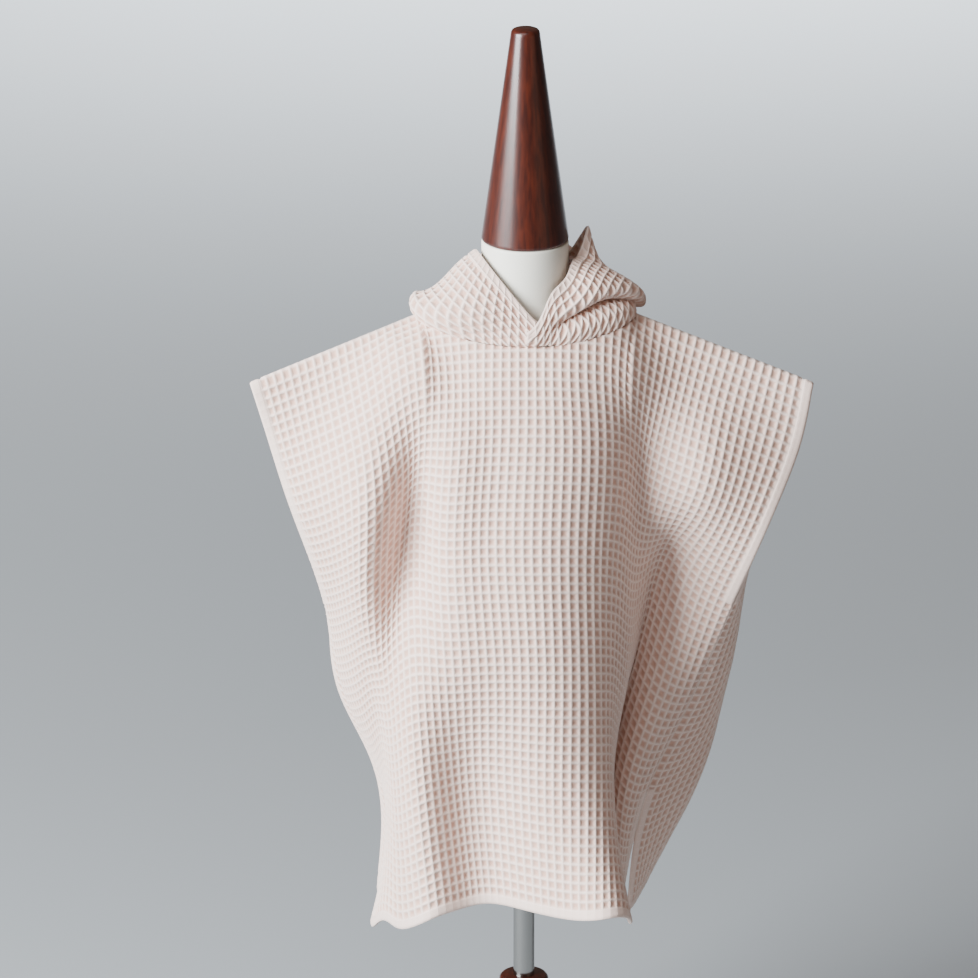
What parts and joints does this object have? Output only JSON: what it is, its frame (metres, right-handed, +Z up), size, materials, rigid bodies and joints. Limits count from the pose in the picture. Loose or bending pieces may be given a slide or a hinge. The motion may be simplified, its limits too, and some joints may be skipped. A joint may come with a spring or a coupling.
{
  "type": "hooded bath poncho on a limbless dress form",
  "caption": "Child's hooded waffle-cotton bath poncho with open armholes, side vents and the hood down, worn by a limbless dress form with a wooden cone and a tripod stand.",
  "frame": {"origin": "on the floor, on the pole's axis", "axes": "+Z up, +X to the wearer's left (the view's right), -Y the way the wearer faces"},
  "size_m": [0.5718, 0.389, 1.2653],
  "materials": {
    "waffle_cloth": "pale pink cotton waffle weave, matte",
    "form_cover": "off-white smooth cover",
    "varnished_wood": "dark red-brown wood, glossy varnish",
    "pole_metal": "polished tube"
  },
  "bodies": {
    "root": {"front_panel": "waffle_cloth", "back_panel": "waffle_cloth", "hood_left": "waffle_cloth", "hood_right": "waffle_cloth", "torso": "form_cover", "neck_cone": "varnished_wood", "pole": "pole_metal", "hub": "varnished_wood", "leg_1": "varnished_wood", "leg_2": "varnished_wood", "leg_3": "varnished_wood"}
  },
  "joints": []
}
